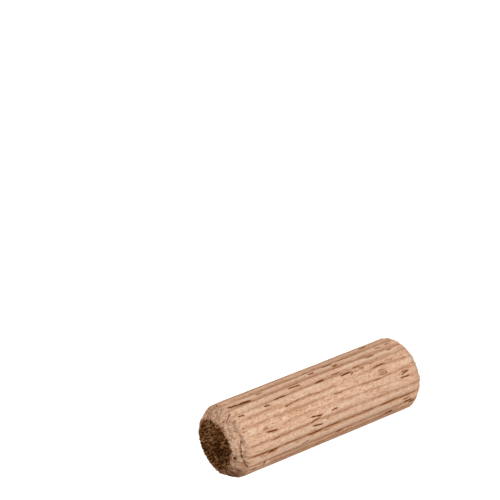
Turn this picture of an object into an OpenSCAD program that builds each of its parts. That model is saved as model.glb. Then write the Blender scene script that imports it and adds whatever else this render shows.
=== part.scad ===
// Fluted dowel pin: one turned beech rod with rolled lengthwise flutes and a chamfer at each sawn end.
// It stands on one end. The origin is the centre of that end face, and +Z runs along the pin.

/* [Rod] */
// Length between the two sawn end faces, mm
pin_length = 30; // [20:0.5:60]
// Diameter over the crests left between the flutes, mm
crest_d = 9.7; // [7.7:0.1:15.7]

/* [Flutes] */
// Number of flutes round the rod
flute_count = 24; // [16:1:30]
// Depth of a flute below the crests, mm
flute_depth = 0.24; // [0.16:0.01:0.32]
// Angle between the two flanks of a flute, degrees
flank_angle = 80; // [60:1:90]
// Radius at the root of a flute, mm
root_r = 0.08; // [0.05:0.01:0.12]
// Radius where a flank turns over onto the crest, mm
shoulder_r = 0.1; // [0.04:0.01:0.14]
// Angle from +X to the middle of the crest nearest to it, degrees
crest_turn = -2.5; // [-4:0.5:4]

/* [Ends] */
// Length of the upper end's chamfer along the rod, mm
top_chamfer_length = 1.75; // [1:0.05:2.5]
// Depth of that chamfer at the end face, measured in from the crests, mm
top_chamfer_depth = 1.4; // [0.8:0.05:2]
// Length of the lower end's chamfer along the rod, mm
foot_chamfer_length = 1.4; // [1:0.05:2.5]
// Depth of that chamfer at the end face, measured in from the crests, mm
foot_chamfer_depth = 1.1; // [0.8:0.05:2]
// Radius on the rim between a chamfer and its end face, mm
rim_r = 0.2; // [0.1:0.05:0.4]

/* [Hidden] */

$fn = 96;
crest_r = crest_d / 2;
flute_step = 360 / flute_count;
past = 1; // how far a cutter runs past what it cuts
bite = 1.002; // a rounding circle is this much over its size, so that it crosses what it blends

// A flute has its centre line on +X. Its two flanks are tangent to the root circle.
half_flank = flank_angle / 2;
root_x = crest_r - flute_depth + root_r;
root_tangent = [root_x - root_r * sin(half_flank), root_r * cos(half_flank)];
// A shoulder circle touches a flank from the wood's side and the crest circle from inside.
flank_from_axis = root_r - root_x * sin(half_flank);
shoulder_centre_r = crest_r - shoulder_r;
shoulder_angle = half_flank + asin((flank_from_axis + shoulder_r) / shoulder_centre_r);
shoulder_centre = shoulder_centre_r * [cos(shoulder_angle), sin(shoulder_angle)];
shoulder_on_flank = shoulder_centre + shoulder_r * [sin(half_flank), -cos(half_flank)];
past_shoulder = (crest_r + past) * [cos(shoulder_angle), sin(shoulder_angle)];

// One flute in the rod's cross-section: root, flanks and rounded shoulders, open towards +X.
module flute() {
    translate([root_x, 0])
        circle(r = bite * root_r);
    difference() {
        polygon([
            root_tangent,
            shoulder_on_flank,
            shoulder_centre,
            past_shoulder,
            [past_shoulder[0], -past_shoulder[1]],
            [shoulder_centre[0], -shoulder_centre[1]],
            [shoulder_on_flank[0], -shoulder_on_flank[1]],
            [root_tangent[0], -root_tangent[1]]
        ]);
        for (side = [1, -1])
            translate([shoulder_centre[0], side * shoulder_centre[1]])
                circle(r = bite * shoulder_r);
    }
}

// Cross-section of the rod: crests on one circle, with the flutes rolled in between them.
module fluted_section() {
    difference() {
        circle(r = crest_r);
        for (i = [0 : flute_count - 1])
            rotate((i + 0.5) * flute_step)
                flute();
    }
}

// Profile of one end, from its face at y = 0 to the middle of the rod. A small rim circle
// blends the chamfer into the face.
module end_profile(chamfer_length, chamfer_depth) {
    chamfer_angle = atan2(chamfer_depth, chamfer_length);
    rim_half_turn = (90 - chamfer_angle) / 2;
    rim_centre = [crest_r - chamfer_depth - rim_r * tan(rim_half_turn), rim_r];
    translate(rim_centre)
        circle(r = bite * rim_r);
    polygon([
        [0, 0],
        [rim_centre[0], 0],
        rim_centre,
        rim_centre + rim_r * [cos(chamfer_angle), -sin(chamfer_angle)],
        [crest_r + past * tan(chamfer_angle), chamfer_length + past],
        [crest_r + past * tan(chamfer_angle), pin_length / 2],
        [0, pin_length / 2]
    ]);
}

// The turned envelope that trims both ends of the fluted rod. Its seam is turned off the crest's.
module end_envelope() {
    rotate(flute_step / 8)
        rotate_extrude() {
            end_profile(foot_chamfer_length, foot_chamfer_depth);
            translate([0, pin_length])
                mirror([0, 1])
                    end_profile(top_chamfer_length, top_chamfer_depth);
        }
}

module dowel_pin() {
    color("burlywood")
        rotate(crest_turn)
            intersection() {
                linear_extrude(height = pin_length)
                    fluted_section();
                end_envelope();
            }
}

dowel_pin();
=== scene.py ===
"""A fluted beech dowel pin standing on one sawn end.

Lengths on the pin are in millimetres, and `along` runs from the upper sawn face down to the lower one.
`turn` is the angle round the pin, anticlockwise from +X as seen from above. It is in degrees in the tables
and in radians elsewhere.
"""

import math

import bpy
import numpy as np
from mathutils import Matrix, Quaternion, Vector

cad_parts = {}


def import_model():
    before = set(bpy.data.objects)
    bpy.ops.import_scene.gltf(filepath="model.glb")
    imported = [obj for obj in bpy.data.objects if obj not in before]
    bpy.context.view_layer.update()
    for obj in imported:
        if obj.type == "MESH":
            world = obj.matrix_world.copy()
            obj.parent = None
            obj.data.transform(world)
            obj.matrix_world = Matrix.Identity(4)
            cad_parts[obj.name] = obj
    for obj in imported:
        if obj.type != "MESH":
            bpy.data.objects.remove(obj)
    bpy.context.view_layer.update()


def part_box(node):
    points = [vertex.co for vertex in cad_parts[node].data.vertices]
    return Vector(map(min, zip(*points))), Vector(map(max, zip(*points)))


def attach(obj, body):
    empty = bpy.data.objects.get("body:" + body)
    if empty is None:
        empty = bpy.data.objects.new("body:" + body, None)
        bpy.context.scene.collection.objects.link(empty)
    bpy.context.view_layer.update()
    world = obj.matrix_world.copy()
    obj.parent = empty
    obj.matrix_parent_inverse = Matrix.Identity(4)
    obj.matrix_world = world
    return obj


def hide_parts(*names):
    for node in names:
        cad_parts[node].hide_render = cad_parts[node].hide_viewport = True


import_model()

MM = 0.001
rng = np.random.default_rng(24)

# Sizes of the pin, from the frame's box and the solid's own dimensions
PIN_LOW, PIN_HIGH = (np.array(corner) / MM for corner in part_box("dowel_pin"))
LENGTH = PIN_HIGH[2] - PIN_LOW[2]
CREST_R = (PIN_HIGH[0] - PIN_LOW[0]) / 2
SKIN_INSET = 0.015
FLUTES = 24
FLUTE_STEP = 2 * math.pi / FLUTES
FIRST_FLUTE = math.radians(5)
FLUTE_DEPTH = 0.24
FLUTE_HALF_WIDTH = 0.38

# The upper chamfer is convex, and longer by its lean toward -X. The lower one is straight, and shorter by
# its lean toward FOOT_LEAN_TURN.
TOP_ARC_LENGTH = 2.4
TOP_ARC_DEPTH = 1.5
TOP_ARC_LEAN = 0.15
FOOT_CHAMFER_LENGTH = 1.33
FOOT_CHAMFER_DEPTH = 1.2
FOOT_LEAN = 0.19
FOOT_LEAN_TURN = math.radians(-58)
RIM_R = 0.2
SHOULDER_ROUND = 0.05

# The upper sawn face: how much it rises to its edge toward +X and toward +Y, how far its middle lies below
# the rim, and how far down the chamfer still leans with it
FACE_LEAN = (0.15, 0.05)
FACE_INSET = 0.05
FACE_LEAN_REACH = 1.2

# Mesh density
COLUMNS_PER_FLUTE = 17
COLUMNS = FLUTES * COLUMNS_PER_FLUTE
TOP_ROWS = 32
SHANK_ROWS = 156
FOOT_CHAMFER_ROWS = 14
TOP_FACE_RINGS = 30
FOOT_FACE_RINGS = 4
FIRST_ROW = 0.02
ROW_MARGIN = 0.2

# Layers of noise on the skin. Each has its height in mm or as a share, how many cells go round the pin, the
# length of a cell in mm and its seed. A cell as long as WHOLE_LENGTH changes only round the pin.
WHOLE_LENGTH = 100.0
GRAIN = [(0.014, 260, 1.7, 41), (0.010, 408, 0.5, 42)]
CRUMBS = [(0.05, 110, 0.28, 43), (0.04, 204, 0.16, 44)]
RAGGED_SHOULDER = [(0.10, 90, WHOLE_LENGTH, 21), (0.06, 210, WHOLE_LENGTH, 22)]
TORN_EDGE = [(0.09, 180, WHOLE_LENGTH, 45), (0.04, 70, WHOLE_LENGTH, 46)]
RIM_HEIGHT = [(0.05, 130, WHOLE_LENGTH, 71)]
FACE_OUTLINE = [(0.12, 180, WHOLE_LENGTH, 72)]
SPLINTER_SPIKES = [(1.0, 190, WHOLE_LENGTH, 47)]
STAIN_PATCHES = [(0.5, 70, 0.5, 48)]
MARK_WOBBLE = [(0.035, 60, 0.7, 17)]
FLUTE_WAVER = [(0.05, FLUTES, 4.2, 11), (0.03, FLUTES, 1.6, 12)]
FLUTE_STRENGTH = [(0.25, FLUTES, 5.5, 14), (0.2, FLUTES, 1.9, 15)]
FLUTE_WIDTH = [(0.2, FLUTES, 3.0, 16)]
# Layers of noise on a sawn face: height and cell in mm
FACE_RELIEF = [(0.08, 0.5), (0.09, 0.22)]
TOP_FACE_SEED = 51
FOOT_FACE_SEED = 61

# The flutes that the picture shows, by number anticlockwise from +X. Each has its depth as a share of the
# usual depth, how brown it is (0..1), and where its root runs down the pin, point by point: along mm and
# turn degrees. The brown is partly the wood's own colour and partly painted shade in the flute.
SEEN_FLUTES = {
    13: (0.9, 0.55, [(0, -157.5), (30, -157.0)]),
    14: (1.0, 0.75, [(0, -147.0), (30, -146.0)]),
    15: (1.15, 0.85, [(0, -128.6), (14, -128.0), (30, -129.6)]),
    16: (0.75, 0.65, [(0, -110.6), (12, -111.2), (19, -111.6), (28, -113.8)]),
    17: (0.45, 0.35, [(4, -95.8), (15, -95.2), (25, -98.2), (30, -97.6)]),
    18: (0.50, 0.65, [(2, -80.2), (15, -81.0), (18, -82.8), (23.5, -86.2), (28.5, -84.0)]),
    19: (0.75, 0.60, [(2, -67.4), (7.4, -66.4), (8.8, -71.2), (12.4, -68.4), (14, -71.2), (16.6, -70.4),
                      (20.4, -70.0), (22.8, -67.4), (24, -66.2), (28.5, -69.8)]),
    20: (1.05, 0.62, [(0, -54.0), (15, -53.0), (30, -54.2)]),
    21: (1.00, 0.80, [(0, -41.0), (12, -39.0), (20, -38.8), (28.5, -42.0)]),
    22: (1.15, 1.00, [(0, -24.6), (15, -24.0), (30, -24.2)]),
    23: (1.10, 1.00, [(0, -8.2), (30, -8.0)]),
}
# Stretches of those flutes that are dark in the root: flute, along mm from and to, width mm, strength. The
# dark is partly the wood's own brown and partly painted shade in the root; the broad stretches on flutes 13
# and 14 are painted shade over the lower side, where the light falls off.
DARK_AND_SHADED_ROOTS = [
    (15, 1.9, 7.0, 0.24, 0.48),
    (15, 6.6, 11.0, 0.22, 0.42),
    (15, 10.5, 13.6, 0.22, 0.66),
    (15, 13.4, 16.4, 0.22, 0.52),
    (15, 16.0, 22.6, 0.22, 0.42),
    (15, 22.0, 28.4, 0.24, 0.52),
    (16, 1.9, 5.0, 0.16, 0.34),
    (16, 4.6, 12.0, 0.15, 0.36),
    (16, 13.2, 18.6, 0.18, 0.32),
    (16, 17.0, 28.4, 0.20, 0.26),
    (17, 7.0, 10.0, 0.15, 0.20),
    (17, 15.5, 25.0, 0.15, 0.28),
    (18, 1.9, 15.0, 0.18, 0.26),
    (18, 15.8, 20.0, 0.13, 0.34),
    (18, 19.6, 24.0, 0.13, 0.38),
    (18, 23.0, 28.6, 0.16, 0.32),
    (19, 1.9, 7.4, 0.20, 0.28),
    (19, 8.4, 12.8, 0.17, 0.42),
    (19, 12.2, 14.4, 0.18, 0.46),
    (19, 13.6, 16.8, 0.17, 0.36),
    (19, 20.0, 22.8, 0.14, 0.30),
    (19, 22.6, 25.4, 0.17, 0.46),
    (19, 25.0, 28.6, 0.15, 0.36),
    (20, 1.9, 28.6, 0.50, 0.20),
    (20, 19.0, 23.0, 0.24, 0.22),
    (21, 1.9, 28.6, 0.55, 0.25),
    (22, 1.9, 28.6, 0.55, 0.26),
    (23, 1.9, 28.6, 0.60, 0.22),
    # Broad painted shade over the lower side
    (14, 1.9, 28.6, 1.10, 0.17),
    (13, 1.9, 28.6, 1.20, 0.20),
]
# Marks on the skin, each a spindle between two places: along mm and turn degrees where it starts, the same
# where it ends, its width in mm and its strength. A turn of -87 faces the camera, and -144 is the lower
# side in the picture.
FLECKS = [
    (4.5, -131.5, 6.4, -128.7, 0.15, 0.75),
    (11.5, -115.1, 13.2, -118.7, 0.15, 0.80),
    (11.3, -110.5, 12.9, -105.9, 0.14, 0.78),
    (11.5, -101.5, 13.3, -104.3, 0.15, 0.85),
    (5.2, -112.1, 6.8, -111.3, 0.13, 0.50),
    (4.8, -97.7, 6.5, -99.5, 0.14, 0.82),
    (4.3, -91.5, 5.2, -91.3, 0.34, 0.34),
    (14.7, -102.9, 15.8, -103.5, 0.15, 0.70),
    (26.2, -97.5, 27.7, -98.1, 0.14, 0.70),
    (26.4, -93.7, 27.5, -90.9, 0.16, 0.55),
    (26.5, -89.1, 27.8, -91.1, 0.16, 0.60),
    (15.8, -83.1, 17.2, -83.7, 0.13, 0.50),
    (22.0, -86.1, 23.4, -86.1, 0.12, 0.55),
    (23.1, -81.5, 24.7, -81.7, 0.16, 0.45),
    (23.2, -78.9, 24.7, -79.1, 0.18, 0.34),
    (23.2, -76.5, 24.7, -76.7, 0.18, 0.34),
    (23.2, -74.5, 24.6, -74.7, 0.14, 0.42),
    (23.4, -66.7, 24.8, -66.3, 0.17, 0.65),
    (8.6, -72.3, 9.4, -71.5, 0.13, 0.55),
    (3.9, -67.7, 5.0, -67.5, 0.13, 0.40),
    (2.05, -60.0, 3.0, -60.6, 0.15, 0.75),
    (6.0, -60.3, 6.9, -60.5, 0.16, 0.75),
    (18.1, -59.5, 20.0, -59.3, 0.16, 0.82),
    (19.5, -64.1, 20.1, -61.3, 0.16, 0.55),
    (21.1, -60.3, 21.9, -59.7, 0.18, 0.38),
    (22.7, -58.7, 23.7, -58.5, 0.16, 0.40),
    (7.9, -54.1, 9.9, -53.9, 0.20, 0.78),
    (14.3, -53.7, 16.0, -53.7, 0.20, 0.80),
    (12.7, -54.3, 13.7, -53.9, 0.18, 0.36),
    (16.9, -51.5, 18.6, -51.1, 0.18, 0.40),
    (20.4, -54.1, 21.7, -53.9, 0.18, 0.50),
    (10.5, -46.1, 12.4, -47.3, 0.17, 0.70),
    (22.9, -45.7, 24.5, -46.1, 0.18, 0.50),
    (26.4, -47.1, 27.4, -47.1, 0.18, 0.45),
    (11.0, -40.7, 12.6, -41.1, 0.20, 0.50),
    (1.8, -36.2, 3.5, -38.0, 0.17, 0.75),
    (3.4, -37.6, 5.3, -38.6, 0.16, 1.00),
    (6.3, -32.7, 7.4, -33.5, 0.22, 0.42),
    (14.5, -33.5, 15.5, -33.5, 0.24, 0.56),
    (18.2, -35.7, 19.2, -35.3, 0.24, 0.50),
    (17.1, -28.6, 18.6, -28.6, 0.22, 1.00),
    (19.3, -25.2, 20.7, -25.8, 0.25, 1.05),
    (20.4, -26.6, 22.9, -26.6, 0.21, 0.90),
    (25.3, -33.9, 26.3, -33.9, 0.22, 0.42),
    (27.0, -34.3, 27.7, -33.9, 0.22, 0.45),
    (23.9, -15.5, 25.2, -15.3, 0.30, 0.60),
    (2.2, -155.3, 3.2, -154.3, 0.30, 0.95),
    (4.1, -151.5, 4.7, -143.7, 0.20, 0.90),
    (4.0, -131.0, 28.0, -131.4, 0.12, 0.16),
    (15.6, -147.3, 16.5, -146.7, 0.22, 0.80),
    (16.4, -144.9, 17.4, -145.3, 0.20, 0.70),
    (22.8, -156.0, 24.8, -151.5, 0.36, 1.15),
    (26.4, -140.7, 27.9, -141.3, 0.22, 0.80),
    (26.2, -134.3, 27.6, -135.1, 0.20, 0.42),
    (9.8, -139.3, 11.1, -137.5, 0.20, 0.45),
    (27.5, -147.9, 28.6, -146.9, 0.24, 0.50),
]
# Pale fibres and a splinter on the skin, in the same form. The long strips that run down the crests between
# the flutes are painted highlights.
PALE_FIBRES_AND_CREST_HIGHLIGHTS = [
    (7.6, -79.0, 8.3, -73.6, 0.14, 0.9),
    (10.9, -69.2, 11.9, -66.0, 0.16, 1.0),
    (13.1, -114.2, 13.8, -113.0, 0.16, 0.8),
    (23.2, -97.0, 23.8, -96.6, 0.20, 0.8),
    (16.6, -81.2, 17.2, -80.4, 0.14, 0.7),
    (4.72, -147.0, 4.88, -161.0, 0.36, 1.3),
    (1.8, -136.4, 28.4, -137.0, 0.50, 0.50),
    (1.9, -32.6, 28.4, -32.6, 0.40, 0.40),
    (1.9, -16.6, 28.4, -16.6, 0.50, 0.40),
    (18.0, -48.6, 28.4, -48.0, 0.45, 0.40),
    (1.9, -49.2, 12.0, -50.0, 0.40, 0.30),
    (2.0, -118.0, 28.0, -119.0, 0.60, 0.22),
    (2.0, -60.6, 17.0, -61.0, 0.40, 0.22),
    (2.4, -89.0, 3.4, -88.0, 0.30, 0.6),
    (5.8, -81.6, 6.6, -80.6, 0.30, 0.5),
]
# Cracks and pits on the upper chamfer, in the same form
CHAMFER_CRACKS = [
    (1.36, -85.0, 1.20, -92.0, 0.07, 0.45),
    (1.20, -93.0, 0.94, -104.5, 0.07, 0.62),
    (0.92, -105.5, 0.88, -117.0, 0.08, 0.70),
    (0.87, -117.0, 1.02, -127.5, 0.10, 1.00),
    (1.02, -127.5, 1.34, -138.0, 0.09, 0.90),
    (1.34, -138.0, 1.76, -145.0, 0.10, 1.00),
    (0.76, -55.0, 1.24, -51.0, 0.09, 0.90),
    (1.18, -51.4, 1.52, -48.8, 0.12, 0.95),
    (0.46, -51.4, 0.62, -51.8, 0.17, 0.95),
    (0.10, -57.0, 0.20, -62.0, 0.12, 0.60),
    (0.14, -128.0, 0.40, -128.0, 0.32, 1.20),
    (1.02, -98.8, 1.20, -97.8, 0.16, 1.00),
    (0.78, -112.2, 0.96, -112.4, 0.15, 1.00),
    (0.84, -106.6, 0.94, -106.4, 0.11, 0.80),
    (0.24, -85.0, 0.96, -90.6, 0.06, 0.55),
    (0.24, -79.0, 0.44, -81.6, 0.12, 0.60),
    (0.80, -82.0, 0.98, -84.0, 0.12, 0.50),
    (0.66, -99.6, 0.84, -98.0, 0.10, 0.50),
    (1.36, -16.4, 1.62, -13.4, 0.16, 0.70),
    (1.22, -31.0, 1.40, -28.0, 0.14, 0.55),
    (0.88, -5.6, 1.04, -3.6, 0.16, 0.55),
    (1.50, -45.6, 1.68, -43.0, 0.14, 0.45),
    (0.08, -183.6, 0.26, -183.6, 0.26, 1.00),
    (1.12, -175.0, 1.40, -175.0, 0.20, 0.80),
    (1.90, -77.8, 1.90, -81.0, 0.12, 0.50),
    (1.66, -84.4, 1.86, -84.8, 0.14, 0.50),
    (2.06, -85.0, 2.26, -85.4, 0.12, 0.42),
    (2.34, -87.6, 2.52, -88.0, 0.12, 0.38),
    (1.70, -55.4, 1.84, -56.0, 0.12, 0.55),
    (1.54, -73.0, 1.62, -75.0, 0.12, 0.50),
]
# Browner patches of the upper chamfer, in the same form. The two that run from -152 to -215 turn degrees
# are painted shade on the chamfer's lower side, away from the light; the others are stains.
CHAMFER_STAINS_AND_SHADE = [
    (1.36, -90.0, 1.36, -126.0, 0.40, 0.50),
    (1.50, -124.0, 1.58, -152.0, 0.34, 0.50),
    (0.90, -152.0, 0.90, -215.0, 1.40, 1.00),
    (0.30, -152.0, 0.30, -215.0, 0.60, 1.00),
    (1.20, -58.0, 1.25, -82.0, 0.60, 0.25),
    (1.10, -24.0, 1.05, -48.0, 0.40, 0.12),
    (0.45, -112.0, 0.50, -146.0, 0.50, 0.25),
]
# Depth as a share and brownness of the flutes on the hidden side; the brown is partly painted shade, as
# on the seen flutes
HIDDEN_FLUTE = (1.0, 0.75)
# A seen flute follows its table, and wavers only by this share of what a hidden one does
SEEN_WAVER = 0.3
USUAL_STRENGTH = 0.80
# Form of a flute: the share of its width that doesn't depend on its depth, the rounding of its root, the
# share of the depth from which its floor is flatter, the reach and share of its soft lip, and the reach of
# its brown
FIXED_WIDTH = 0.7
ROOT_ROUND = 0.04
FLOOR_FROM = 0.88
LIP_REACH = 1.15
LIP_SHARE = 0.2
BROWN_REACH = 0.95

# Form of a mark: half its width as a share of the width given, how full its middle is, how it tapers to its
# ends, how thin its tip gets, how far its line runs on past its ends, and the softer halo round its core, as
# reach along and across it and as share
MARK_HALF = 0.62
MARK_FULL = 1.2
MARK_TAPER = 0.8
MARK_TIP = 0.12
MARK_RUN_ON = 1.3
HALO_LENGTH = 1.15
HALO_WIDTH = 2.2
HALO_SHARE = 0.22
FLECK_DEPTH = 0.06
FIBRE_HEIGHT = 0.03
CRACK_DEPTH = 0.12

# The hidden side: how many flecks it has, the turn degrees and along mm between which they start, and the
# ranges of their length, width and strength. HIDDEN_SKEW is how far aside they usually end, in degrees.
HIDDEN_FLECKS = 48
HIDDEN_SIDE = (-6, 196)
HIDDEN_ALONG = (2.0, LENGTH - 3.5)
HIDDEN_LENGTH = (0.9, 2.0)
HIDDEN_WIDTH = (0.11, 0.17)
HIDDEN_STRENGTH = (0.35, 0.85)
HIDDEN_SKEW = 1.5

# The stretch of the upper rim, in turn degrees, where torn fibres stand up, the share of each half of it
# over which they fade in, and their height, reach and sharpness
SPLINTERS = (110, 215)
SPLINTER_ENDS = 0.25
SPLINTER_HEIGHT = 0.40
SPLINTER_REACH = 0.9
SPLINTER_POWER = 1.5
# The stretch of the upper face's edge, in turn degrees, that is pale over a strip of so many mm, and the
# share of each half of it over which the strip widens
PALE_RIM = (-172, -108)
PALE_RIM_WIDTH = 0.26
PALE_RIM_ENDS = 0.5
# Middle and radius in mm of the dark part of the upper face
HEART_X, HEART_Y = -0.75, -0.40
HEART_R = 2.0
# Where a chamfer's bare end grain starts, in mm below the fluted skin, and the mm over which it and its
# crumbs fade in
SAWN_FROM, SAWN_FADE = 0.09, 0.06
CRUMBS_FADE = 0.1
# How much of the valleys' brown a chamfer loses, how strong the painted rim highlight on the lower one is,
# and how strong the stains and patches of painted shade on the upper one are
VALLEY_LOSS = 0.7
FOOT_RIM_HIGHLIGHT = 0.5
USUAL_STAIN = 0.8
# Where the dark of the upper face ends, in mm down the chamfer and in mm inside the edge, and the mm over
# which each end fades
DARK_ON_CHAMFER, DARK_ON_CHAMFER_FADE = 0.05, 0.10
DARK_INSIDE, DARK_INSIDE_FADE = -0.024, 0.12
# Roughness of the lower face as a share of the upper one's
FOOT_RELIEF = 0.3


# Seeded noise

def smooth(t):
    return t * t * (3 - 2 * t)


def step(value, middle, width):
    """0 below the middle and 1 above it, with a smooth change over `width`."""
    return smooth(np.clip((value - middle) / width + 0.5, 0, 1))


def blend(lattice, low, high, shares):
    """Smooth value between four neighbours of a lattice, given the indices of two opposite ones."""
    (i, j), (next_i, next_j), (fu, fv) = low, high, shares
    near = lattice[i, j] * (1 - fu) + lattice[next_i, j] * fu
    far = lattice[i, next_j] * (1 - fu) + lattice[next_i, next_j] * fu
    return near * (1 - fv) + far * fv


def skin_noise(turn, along, turn_cells, along_cell, seed):
    """Value noise in -1..1 over the skin, with turn_cells cells round it and cells of along_cell mm."""
    spare = 2
    rows = int(math.ceil((LENGTH + 2 * spare) / along_cell)) + 3
    lattice = np.random.default_rng(seed).uniform(-1, 1, (turn_cells, rows))
    if along_cell == WHOLE_LENGTH:
        along = 0 * along
    u = (turn / (2 * math.pi) % 1.0) * turn_cells
    v = (along + spare) / along_cell
    column, row = np.floor(u).astype(int), np.clip(np.floor(v).astype(int), 0, rows - 2)
    shares = smooth(u - np.floor(u)), smooth(np.clip(v - row, 0, 1))
    return blend(lattice, (column % turn_cells, row), ((column + 1) % turn_cells, row + 1), shares)


def layered(turn, along, layers):
    """The sum of several layers of noise on the skin."""
    return sum(height * skin_noise(turn, along, *cells) for height, *cells in layers)


def plane_noise(x, y, cell, seed):
    """Value noise in -1..1 over a sawn face, with square cells of `cell` mm."""
    half = CREST_R + 1
    size = int(2 * half / cell) + 3
    lattice = np.random.default_rng(seed).uniform(-1, 1, (size, size))
    u, v = (x + half) / cell, (y + half) / cell
    i, j = np.floor(u).astype(int), np.floor(v).astype(int)
    return blend(lattice, (i, j), (i + 1, j + 1), (smooth(u - i), smooth(v - j)))


# Marks on the skin

def hidden_flecks():
    """Flecks of the same sizes, scattered over the side that the picture doesn't show."""
    made = []
    for _ in range(HIDDEN_FLECKS):
        along, turn = rng.uniform(*HIDDEN_ALONG), rng.uniform(*HIDDEN_SIDE)
        end = along + rng.uniform(*HIDDEN_LENGTH)
        end_turn = turn + rng.normal(0, HIDDEN_SKEW)
        width, strength = rng.uniform(*HIDDEN_WIDTH), rng.uniform(*HIDDEN_STRENGTH)
        made.append((along, turn, end, end_turn, width, strength))
    return made


def turn_between(turn, centre):
    return (turn - centre + math.pi) % (2 * math.pi) - math.pi


def reach(turn, span, ends):
    """1 along a span of turn degrees, falling evenly to 0 over the outer share `ends` of each half of it."""
    start, end = (math.radians(degrees) for degrees in span)
    inside = 1 - np.abs(turn_between(turn, (start + end) / 2)) / ((end - start) / 2)
    return np.clip(inside / ends, 0, 1)


def spindle(run, across, width):
    """A mark 1 in its middle that fades at its sides and narrows to its ends, where run is -1 and 1."""
    half = width * MARK_HALF * np.sqrt(np.clip(MARK_FULL - MARK_TAPER * run ** 2, MARK_TIP, 1))
    core = np.exp(-np.abs(run) ** 8) * np.exp(-(across / half) ** 2)
    halo = np.exp(-(np.abs(run) / HALO_LENGTH) ** 6) * np.exp(-(across / (HALO_WIDTH * half)) ** 2)
    return (1 - HALO_SHARE) * core + HALO_SHARE * halo


def marks_mask(turn, along, marks):
    """How much of a mark covers each place, 0..1."""
    mask = np.zeros_like(turn)
    wobble = layered(turn, along, MARK_WOBBLE)
    for start, start_degrees, end, end_degrees, width, strength in marks:
        start_turn, end_turn = math.radians(start_degrees), math.radians(end_degrees)
        middle, half = (start + end) / 2, (end - start) / 2
        middle_turn, half_turn = (start_turn + end_turn) / 2, (end_turn - start_turn) / 2
        if abs(half) > abs(half_turn) * CREST_R:
            run = (along - middle) / half
            line = middle_turn + half_turn * np.clip(run, -MARK_RUN_ON, MARK_RUN_ON)
            across = turn_between(turn, line) * CREST_R
        else:
            run = turn_between(turn, middle_turn) / half_turn
            across = along - middle - half * np.clip(run, -MARK_RUN_ON, MARK_RUN_ON)
        mask = np.maximum(mask, strength * spindle(run, across + wobble, width))
    return mask


# The fluted skin

def flute_turn(number, along):
    """Where the root of a flute runs, in radians round the pin."""
    key = np.full_like(along, FIRST_FLUTE + number * FLUTE_STEP)
    waver = layered(key, along, FLUTE_WAVER)
    if number in SEEN_FLUTES:
        places, turns = zip(*SEEN_FLUTES[number][2])
        key = np.radians(np.interp(along, places, turns))
        waver = waver * SEEN_WAVER
    return key + waver / CREST_R


def root_shade(number, along, across):
    """How dark a flute's root is, 0..1, where the table of dark roots has a stretch of it. The dark is
    partly the wood's own brown and partly painted shade.
    """
    shade = np.zeros_like(along)
    for flute, start, end, width, strength in DARK_AND_SHADED_ROOTS:
        if flute == number:
            run = (along - (start + end) / 2) / ((end - start) / 2)
            shade = np.maximum(shade, strength * spindle(run, across, width))
    return shade


def flutes(turn, along):
    """Depth of the flutes in mm, and how far into a flute and how dark in its root each place is, 0..1. The
    flute's brown and the root's dark are partly the wood's own colour and partly painted shade.
    """
    depth, valley, dark = np.zeros_like(turn), np.zeros_like(turn), np.zeros_like(turn)
    for number in range(FLUTES):
        key = np.full_like(along, FIRST_FLUTE + number * FLUTE_STEP)
        share, brown = SEEN_FLUTES[number][:2] if number in SEEN_FLUTES else HIDDEN_FLUTE
        strength = USUAL_STRENGTH + layered(key, along, FLUTE_STRENGTH)
        width = FLUTE_HALF_WIDTH * (FIXED_WIDTH + (1 - FIXED_WIDTH) * share)
        width = width * (1 + layered(key, along, FLUTE_WIDTH))
        across = turn_between(turn, flute_turn(number, along)) * CREST_R
        t = np.abs(across) / width
        bowl = np.sqrt((1 - np.minimum(t, 1)) ** 2 + ROOT_ROUND ** 2) - ROOT_ROUND
        bowl = np.minimum(bowl, FLOOR_FROM + (1 - FLOOR_FROM) * bowl)
        lip = np.exp(-(t / LIP_REACH) ** 2)
        form = (1 - LIP_SHARE) * bowl + LIP_SHARE * lip
        depth = np.maximum(depth, FLUTE_DEPTH * share * strength * form)
        valley = np.maximum(valley, np.clip(brown * strength * np.exp(-(t / BROWN_REACH) ** 4), 0, 1))
        dark = np.maximum(dark, root_shade(number, along, across))
    return depth, valley, dark


def envelope(turn, along):
    """Radius that the chamfers allow, with a slightly ragged start on the shank."""
    ragged = layered(turn, along, RAGGED_SHOULDER)
    top = (along + ragged) / (TOP_ARC_LENGTH - TOP_ARC_LEAN * np.cos(turn))
    arc = CREST_R - TOP_ARC_DEPTH * np.maximum(1 - top, 0) ** 2
    foot = (LENGTH - along + ragged) / (FOOT_CHAMFER_LENGTH - FOOT_LEAN * np.cos(turn - FOOT_LEAN_TURN))
    cone = CREST_R - FOOT_CHAMFER_DEPTH * (1 - foot)
    near_face = np.minimum(along, LENGTH - along)
    rim = np.clip(1 - near_face / RIM_R, 0, 1) ** 2 * RIM_R / 2
    return np.minimum(arc, cone) - rim


def blend_low(a, b, width):
    """The lower of two fields, with a round of about `width` mm where they cross."""
    gap = np.clip(0.5 + 0.5 * (b - a) / width, 0, 1)
    return b * (1 - gap) + a * gap - width * gap * (1 - gap)


def splinters(turn, along):
    """Height in mm of the torn fibres that stand up from one stretch of the upper chamfer."""
    spikes = np.clip(layered(turn, along, SPLINTER_SPIKES), 0, 1) ** SPLINTER_POWER
    near_face = np.exp(-(along / SPLINTER_REACH) ** 2)
    return SPLINTER_HEIGHT * spikes * reach(turn, SPLINTERS, SPLINTER_ENDS) * near_face


def pale_rim(turn):
    """How far in mm the pale wood reaches in over the upper face's edge."""
    return PALE_RIM_WIDTH * smooth(reach(turn, PALE_RIM, PALE_RIM_ENDS))


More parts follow.
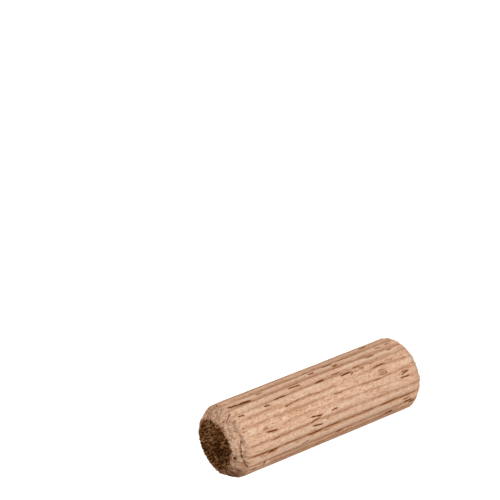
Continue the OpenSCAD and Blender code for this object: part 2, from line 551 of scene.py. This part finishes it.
def skin(turn, along):
    """Radius in mm and the colour masks at each place of the pin's skin."""
    depth, valley, root_dark_and_shade = flutes(turn, along)
    fleck = marks_mask(turn, along, FLECKS + hidden_flecks())
    # Pale fibres, and painted highlights along the crests
    pale = marks_mask(turn, along, PALE_FIBRES_AND_CREST_HIGHLIGHTS)
    crack = marks_mask(turn, along, CHAMFER_CRACKS)
    grain = layered(turn, along, GRAIN)
    shank = CREST_R - SKIN_INSET - depth + grain - FLECK_DEPTH * fleck + FIBRE_HEIGHT * pale
    cone = envelope(turn, along)
    sawn = step(shank - cone, SAWN_FROM, SAWN_FADE)
    crumbs = layered(turn, along, CRUMBS) * np.clip((shank - cone) / CRUMBS_FADE, 0, 1)
    cut = cone + crumbs - CRACK_DEPTH * crack + splinters(turn, along)
    dark_to = DARK_ON_CHAMFER + layered(turn, along, TORN_EDGE)
    # Stains on the upper chamfer, and painted shade on its lower side
    stain_and_shade = marks_mask(turn, along, CHAMFER_STAINS_AND_SHADE) * (USUAL_STAIN + layered(turn, along, STAIN_PATCHES))
    lower_half = np.clip(along - LENGTH / 2, 0, 1)
    return blend_low(shank, cut, SHOULDER_ROUND), {
        "valley": valley * (1 - VALLEY_LOSS * sawn),
        # The flecks' mask also carries the dark flute roots, which are partly painted shade
        "fleck": np.maximum(np.maximum(fleck, root_dark_and_shade) * (1 - sawn), crack),
        # The lower chamfer's pale is a painted rim highlight
        "pale": np.maximum(pale * (1 - sawn), FOOT_RIM_HIGHLIGHT * sawn * lower_half),
        "sawn": sawn,
        "face": step(dark_to - along - pale_rim(turn), 0, DARK_ON_CHAMFER_FADE),
        "stain_and_shade": np.clip(stain_and_shade, 0, 1) * sawn,
        "heart": np.zeros_like(sawn),
    }


# The sawn faces

def face_height(x, y):
    """Lean of the upper sawn face in mm."""
    return (FACE_LEAN[0] * x + FACE_LEAN[1] * y) / (CREST_R - TOP_ARC_DEPTH)


def face_rings(edge_x, edge_y, count):
    """Points of a sawn face, ring by ring from its edge inwards, without the centre."""
    shares = 1 - np.arange(1, count + 1) / (count + 1)
    return [(edge_x * share, edge_y * share) for share in shares]


def face_relief(x, y, seed):
    """Roughness of a sawn face in mm: torn fibres and pits."""
    return sum(height * plane_noise(x, y, cell, seed + i) for i, (height, cell) in enumerate(FACE_RELIEF))


def upper_face(turn, radius, edge_x, edge_y):
    """Points of the upper sawn face and its two masks, ring by ring from the middle outwards."""
    points, face, heart = [], [], []
    outline = layered(turn, 0 * turn, FACE_OUTLINE) - pale_rim(turn)
    for x, y in reversed(face_rings(edge_x, edge_y, TOP_FACE_RINGS)):
        z = LENGTH - FACE_INSET + face_relief(x, y, TOP_FACE_SEED) + face_height(x, y)
        points.append(np.stack([x, y, z], 1))
        face.append(step(radius - np.hypot(x, y) + outline, DARK_INSIDE, DARK_INSIDE_FADE))
        heart.append(np.exp(-((x - HEART_X) ** 2 + (y - HEART_Y) ** 2) / HEART_R ** 2))
    return points, {"face": np.concatenate(face), "heart": np.concatenate(heart)}


def lower_face(edge_x, edge_y):
    """Points of the lower sawn face, ring by ring from its edge inwards. Its pits lie above the floor."""
    points = []
    for x, y in face_rings(edge_x, edge_y, FOOT_FACE_RINGS):
        points.append(np.stack([x, y, FOOT_RELIEF * np.abs(face_relief(x, y, FOOT_FACE_SEED))], 1))
    return points


# The mesh

def stations():
    """The rows of the skin, as mm along the pin."""
    foot_length = FOOT_CHAMFER_LENGTH + FOOT_LEAN + ROW_MARGIN
    top = np.linspace(FIRST_ROW, TOP_ARC_LENGTH + TOP_ARC_LEAN + ROW_MARGIN, TOP_ROWS)
    foot = np.linspace(LENGTH - foot_length, LENGTH - FIRST_ROW, FOOT_CHAMFER_ROWS)
    shank = np.linspace(top[-1], foot[0], SHANK_ROWS + 2)[1:-1]
    return np.concatenate([top, shank, foot])


def ring_faces(ring_count):
    """Faces between neighbouring rings of points, and fans that close both ends on a centre point."""
    start = np.arange(ring_count - 1)[:, None] * COLUMNS
    column = np.arange(COLUMNS)[None, :]
    after = (column + 1) % COLUMNS
    quads = np.stack([start + column, start + COLUMNS + column, start + COLUMNS + after, start + after], 2)
    faces = quads.reshape(-1, 4).tolist()
    last = (ring_count - 1) * COLUMNS
    top_centre = ring_count * COLUMNS
    foot_centre = top_centre + 1
    for c in range(COLUMNS):
        faces.append((top_centre, c, (c + 1) % COLUMNS))
        faces.append((foot_centre, last + (c + 1) % COLUMNS, last + c))
    return faces


def mask_values(name, grid, upper_masks):
    """A mask's value at each point of the mesh. The sawn faces are sawn all over, with no other marks."""
    on_face = 1.0 if name in ("sawn", "face") else 0.0
    upper = upper_masks.get(name, np.full(TOP_FACE_RINGS * COLUMNS, on_face))
    lower = np.full(FOOT_FACE_RINGS * COLUMNS, on_face)
    return np.concatenate([upper, grid.ravel(), lower, [on_face, on_face]])


def pin_mesh():
    turn_line = np.arange(COLUMNS) * 2 * math.pi / COLUMNS
    turn, along = np.meshgrid(turn_line, stations())
    radius, masks = skin(turn, along)
    x, y = radius * np.cos(turn), radius * np.sin(turn)
    z = LENGTH - along + face_height(x, y) * np.clip(1 - along / FACE_LEAN_REACH, 0, 1)
    z[0] += layered(turn_line, 0 * turn_line, RIM_HEIGHT)
    upper, upper_masks = upper_face(turn_line, radius[0], x[0], y[0])
    rings = upper + list(np.stack([x, y, z], 2)) + lower_face(x[-1], y[-1])
    centres = [[0, 0, LENGTH - FACE_INSET], [0, 0, 0]]
    points = np.concatenate(rings + [centres])
    mesh = bpy.data.meshes.new("fluted_pin")
    mesh.from_pydata((points * MM).tolist(), [], ring_faces(len(rings)))
    mesh.validate()
    mesh.update()
    for name, grid in masks.items():
        layer = mesh.attributes.new(name, "FLOAT", "POINT")
        layer.data.foreach_set("value", mask_values(name, grid, upper_masks).astype(np.float32))
    mesh.shade_smooth()
    return mesh


# Material

def linear(red, green, blue):
    """An sRGB colour in 0..255 as the linear colour that Blender takes."""
    def channel(value):
        value = value / 255
        return value / 12.92 if value <= 0.04045 else ((value + 0.055) / 1.055) ** 2.4
    return (channel(red), channel(green), channel(blue), 1.0)


class Nodes:
    """Builds the nodes of a material or world. A socket takes a number, a colour or a node's output."""

    def __init__(self, owner):
        owner.use_nodes = True
        self.tree = owner.node_tree
        self.tree.nodes.clear()

    def put(self, socket, value):
        if isinstance(value, bpy.types.NodeSocket):
            self.tree.links.new(value, socket)
        else:
            socket.default_value = value

    def node(self, kind, **inputs):
        made = self.tree.nodes.new(kind)
        for name, value in inputs.items():
            self.put(made.inputs[name.replace("_", " ")], value)
        return made

    def output(self, kind, surface):
        self.tree.links.new(surface, self.tree.nodes.new(kind).inputs["Surface"])

    def math(self, operation, a, b, clamp=False):
        made = self.tree.nodes.new("ShaderNodeMath")
        made.operation = operation
        made.use_clamp = clamp
        self.put(made.inputs[0], a)
        self.put(made.inputs[1], b)
        return made.outputs[0]

    def share(self, value, factor):
        return self.math("MULTIPLY", value, factor)

    def ramp(self, value, low, high):
        """0 below low, 1 above high, smooth between."""
        made = self.tree.nodes.new("ShaderNodeMapRange")
        made.interpolation_type = "SMOOTHSTEP"
        self.put(made.inputs["Value"], value)
        made.inputs["From Min"].default_value = low
        made.inputs["From Max"].default_value = high
        return made.outputs["Result"]

    def mix(self, factor, a, b):
        made = self.tree.nodes.new("ShaderNodeMix")
        made.data_type = "RGBA"
        factor_socket, a_socket, b_socket = (made.inputs[i] for i in (0, 6, 7))
        self.put(factor_socket, factor)
        self.put(a_socket, a)
        self.put(b_socket, b)
        return made.outputs[2]

    def attribute(self, name):
        made = self.tree.nodes.new("ShaderNodeAttribute")
        made.attribute_name = name
        return made.outputs["Fac"]

    def noise(self, across, along, detail=3.0, roughness=0.55, shift=0.0, thick=None, curl=0.0):
        """Noise with cells of `across` by `along` mm, stretched along the pin where along is larger."""
        place = self.tree.nodes.new("ShaderNodeTexCoord")
        scaled = self.tree.nodes.new("ShaderNodeMapping")
        self.tree.links.new(place.outputs["Object"], scaled.inputs["Vector"])
        cell = np.array([across, thick or across, along]) * MM
        scaled.inputs["Scale"].default_value = tuple(1 / cell)
        scaled.inputs["Location"].default_value = (shift, shift * 1.7, shift * 0.6)
        made = self.node("ShaderNodeTexNoise", Vector=scaled.outputs["Vector"], Scale=1.0, Detail=detail,
                         Roughness=roughness, Distortion=curl)
        return made.outputs["Fac"]

    def white_to_camera(self):
        """1 for the rays that show the background, 0 for those that light the object."""
        path = self.tree.nodes.new("ShaderNodeLightPath")
        seen = self.math("MAXIMUM", path.outputs["Is Camera Ray"], path.outputs["Is Glossy Ray"])
        return self.math("MAXIMUM", seen, path.outputs["Is Transmission Ray"])


CREST = linear(225, 190, 163)
STREAK = linear(189, 134, 97)
PALE = linear(241, 218, 196)
VALLEY_BROWN_AND_SHADE = linear(164, 111, 75)
BROWN = linear(150, 96, 56)
FLECK = linear(92, 54, 26)
SAWN = linear(230, 200, 177)
SAWN_BROWN = linear(178, 122, 84)
SAWN_DARK = linear(112, 66, 36)
STAIN_AND_SHADE = linear(84, 50, 26)
SAWN_GLINT = linear(232, 216, 192)
FACE = linear(206, 166, 124)
FACE_BROWN = linear(132, 88, 50)
FACE_DARK = linear(44, 18, 2)
BEECH_ROUGHNESS = 0.85
PORE_BUMP = 0.14


def beech():
    material = bpy.data.materials.new("beech")
    n = Nodes(material)
    colour = n.mix(n.attribute("sawn"), shank_colour(n), sawn_colour(n))
    # Stains, and painted shade on the upper chamfer's lower side
    colour = n.mix(n.share(n.attribute("stain_and_shade"), 0.95), colour, STAIN_AND_SHADE)
    colour = n.mix(n.attribute("face"), colour, face_colour(n))
    # Pale fibres, painted highlights along the crests, and the painted rim highlight of the lower chamfer
    colour = n.mix(n.attribute("pale"), colour, PALE)
    # Flecks, and the dark flute roots, which are partly painted shade
    fleck = fleck_strength(n)
    colour = n.mix(n.ramp(fleck, low=0.02, high=0.55), colour, BROWN)
    colour = n.mix(n.ramp(fleck, low=0.40, high=0.85), colour, FLECK)
    shader = n.node("ShaderNodeBsdfPrincipled", Base_Color=colour, Roughness=BEECH_ROUGHNESS,
                    Normal=pores(n))
    shader.inputs["Specular IOR Level"].default_value = 0.0
    n.output("ShaderNodeOutputMaterial", shader.outputs["BSDF"])
    return material


def shank_colour(n):
    """Colour of the fluted wood: mottled pale crests, darker streaks and brown valleys, whose brown is
    partly the wood's own and partly painted shade.
    """
    mottle = n.noise(across=0.24, along=0.62, detail=4.0, roughness=0.65, shift=3.1)
    grain = n.noise(across=0.26, along=4.5, detail=2.0, shift=6.3)
    speck = n.noise(across=0.12, along=0.30, detail=1.0, shift=8.7)
    tone = n.math("ADD", n.share(mottle, 0.46), n.share(grain, 0.24))
    tone = n.math("ADD", tone, n.share(speck, 0.30))
    colour = n.mix(n.ramp(tone, low=0.34, high=0.52), STREAK, CREST)
    colour = n.mix(n.share(n.ramp(tone, low=0.50, high=0.62), 0.75), colour, PALE)
    fading = n.ramp(n.noise(across=0.4, along=2.0, shift=5.0), low=0.2, high=0.62)
    # The valleys' brown, partly painted shade
    valley = n.math("MULTIPLY", n.attribute("valley"), fading)
    return n.mix(n.share(valley, 0.58), colour, VALLEY_BROWN_AND_SHADE)


def fleck_strength(n):
    """The flecks and the dark flute roots, slightly broken up, with small flecks between them. The roots'
    dark is partly painted shade.
    """
    small = n.ramp(n.noise(across=0.15, along=0.9, detail=1.0, shift=12.0), low=0.66, high=0.76)
    broken = n.ramp(n.noise(across=0.25, along=0.7, shift=17.0), low=0.35, high=0.62)
    kept = n.math("ADD", n.share(broken, 0.4), 0.85)
    marks = n.math("MULTIPLY", n.attribute("fleck"), kept, clamp=True)
    return n.math("MAXIMUM", marks, n.share(small, 0.4))


def pores(n):
    """Fine relief of the wood, as a normal."""
    fibres = n.share(n.noise(across=0.09, along=0.7, shift=1.0), 0.5)
    pits = n.share(n.noise(across=0.14, along=0.14, shift=2.0), 0.5)
    height = n.math("ADD", fibres, pits)
    bump = n.node("ShaderNodeBump", Height=height, Strength=0.8, Distance=PORE_BUMP * MM)
    return bump.outputs["Normal"]


def sawn_colour(n):
    """Colour of the chamfers: end grain in patches, with pores and painted glints."""
    patch = n.ramp(n.noise(across=0.70, along=0.45, shift=14.0), low=0.40, high=0.62)
    colour = n.mix(n.share(patch, 0.7), SAWN, SAWN_BROWN)
    light = n.ramp(n.noise(across=0.34, along=0.24, detail=2.0, shift=19.0), low=0.50, high=0.68)
    colour = n.mix(n.share(light, 0.7), colour, PALE)
    crumbs = n.ramp(n.noise(across=0.15, along=0.13, detail=2.0, shift=29.0), low=0.52, high=0.66)
    colour = n.mix(n.share(crumbs, 0.65), colour, SAWN_BROWN)
    holes = n.ramp(n.noise(across=0.18, along=0.16, detail=1.0, shift=15.0), low=0.60, high=0.72)
    colour = n.mix(n.share(holes, 0.85), colour, SAWN_DARK)
    # Pale specks, painted as glints of light
    glints = n.ramp(n.noise(across=0.16, along=0.16, detail=1.0, shift=33.0), low=0.60, high=0.72)
    return n.mix(n.share(glints, 0.8), colour, SAWN_GLINT)


def face_colour(n):
    """Colour of the sawn faces: dark end grain with paler torn fibres."""
    patch = n.ramp(n.noise(across=1.6, along=1.6, shift=25.0), low=0.38, high=0.62)
    heart = n.share(n.attribute("heart"), 0.9)
    colour = n.mix(n.math("MAXIMUM", n.share(patch, 0.5), heart), FACE_BROWN, FACE_DARK)
    fibre = n.ramp(n.noise(across=0.17, along=0.17, thick=0.85, detail=2.0, shift=23.0, curl=0.6),
                   low=0.52, high=0.58)
    torn = n.math("MULTIPLY", fibre, n.math("SUBTRACT", 0.85, n.share(heart, 0.6)))
    colour = n.mix(torn, colour, FACE)
    dark = n.ramp(n.noise(across=0.20, along=0.20, thick=0.6, detail=2.0, shift=21.0, curl=0.5),
                  low=0.50, high=0.58)
    return n.mix(n.share(dark, 0.85), colour, FACE_DARK)


# Floor, lights and camera

WHITE = (1.0, 1.0, 1.0)
WARM = (1.0, 0.77, 0.60)
FLOOR_HALF = 3.0
FLOOR_GREY = (0.8, 0.8, 0.8, 1)
FLOOR_GLOW = 0.85
WORLD_STRENGTH = 0.30
# Soft lamps: turn and elevation in degrees, distance and size in m, power in W, colour
LAMPS = {
    "key": (-79, 8, 0.5, 0.30, 1.95, WHITE),
    "side": (-14, 8, 0.5, 0.25, 0.14, WARM),
    "low": (-150, 6, 0.5, 0.25, 0.26, WARM),
    "back": (96, 20, 0.6, 0.3, 1.4, WHITE),
}


def floor():
    """A white floor that keeps the pin's shadow, and looks white to the camera where no shadow falls."""
    mesh = bpy.data.meshes.new("floor")
    h = FLOOR_HALF
    mesh.from_pydata([(-h, -h, 0), (h, -h, 0), (h, h, 0), (-h, h, 0)], [], [(0, 1, 2, 3)])
    made = bpy.data.objects.new("floor", mesh)
    bpy.context.scene.collection.objects.link(made)
    material = bpy.data.materials.new("floor_white")
    n = Nodes(material)
    plain = n.node("ShaderNodeBsdfDiffuse", Color=FLOOR_GREY)
    strength = n.share(n.white_to_camera(), FLOOR_GLOW)
    glow = n.node("ShaderNodeEmission", Color=(*WHITE, 1), Strength=strength)
    both = n.node("ShaderNodeAddShader")
    n.tree.links.new(plain.outputs[0], both.inputs[0])
    n.tree.links.new(glow.outputs[0], both.inputs[1])
    n.output("ShaderNodeOutputMaterial", both.outputs[0])
    mesh.materials.append(material)
    return made


def area_light(name, degrees, elevation, distance, size, power, colour):
    """A soft lamp at an angle round the pin, aimed at its middle."""
    data = bpy.data.lights.new(name, "AREA")
    data.shape = "DISK"
    data.size = size
    data.energy = power
    data.color = colour
    made = bpy.data.objects.new(name, data)
    bpy.context.scene.collection.objects.link(made)
    a, e = math.radians(degrees), math.radians(elevation)
    middle = Vector((0, 0, LENGTH / 2 * MM))
    away = Vector((math.cos(a) * math.cos(e), math.sin(a) * math.cos(e), math.sin(e)))
    made.location = middle + away * distance
    made.rotation_mode = "QUATERNION"
    made.rotation_quaternion = away.to_track_quat("Z", "Y")
    made.visible_camera = False
    return made


def world():
    """An even warm light, which the camera sees as white."""
    made = bpy.data.worlds.new("studio")
    n = Nodes(made)
    warm = n.node("ShaderNodeBackground", Color=(*WARM, 1), Strength=WORLD_STRENGTH)
    white = n.node("ShaderNodeBackground", Color=(*WHITE, 1), Strength=1.0)
    mix = n.tree.nodes.new("ShaderNodeMixShader")
    n.tree.links.new(n.white_to_camera(), mix.inputs[0])
    n.tree.links.new(warm.outputs[0], mix.inputs[1])
    n.tree.links.new(white.outputs[0], mix.inputs[2])
    n.output("ShaderNodeOutputWorld", mix.outputs[0])
    bpy.context.scene.world = made


# The camera's place and aim in mm, its roll in degrees, and the focal length in mm on its sensor
CAMERA_AT = (11.62, -222.60, 153.56)
CAMERA_AIM = (21.340, -0.526, 15.685)
CAMERA_ROLL = -109.15
CAMERA_LENS = 148.44
SENSOR_WIDTH = 36


def camera():
    data = bpy.data.cameras.new("camera")
    data.sensor_width = SENSOR_WIDTH
    data.lens = CAMERA_LENS
    data.clip_start, data.clip_end = 0.01, 20
    made = bpy.data.objects.new("camera", data)
    bpy.context.scene.collection.objects.link(made)
    place, aim = Vector(CAMERA_AT) * MM, Vector(CAMERA_AIM) * MM
    made.location = place
    made.rotation_mode = "QUATERNION"
    roll = Quaternion((0, 0, 1), math.radians(CAMERA_ROLL))
    made.rotation_quaternion = (aim - place).to_track_quat("-Z", "Y") @ roll
    bpy.context.scene.camera = made


pin = bpy.data.objects.new("fluted_pin", pin_mesh())
bpy.context.scene.collection.objects.link(pin)
pin.data.materials.append(beech())
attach(pin, "root")
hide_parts("dowel_pin")

floor()
for lamp_name, lamp in LAMPS.items():
    area_light(lamp_name, *lamp)
world()
camera()
bpy.context.scene.view_settings.view_transform = "Standard"
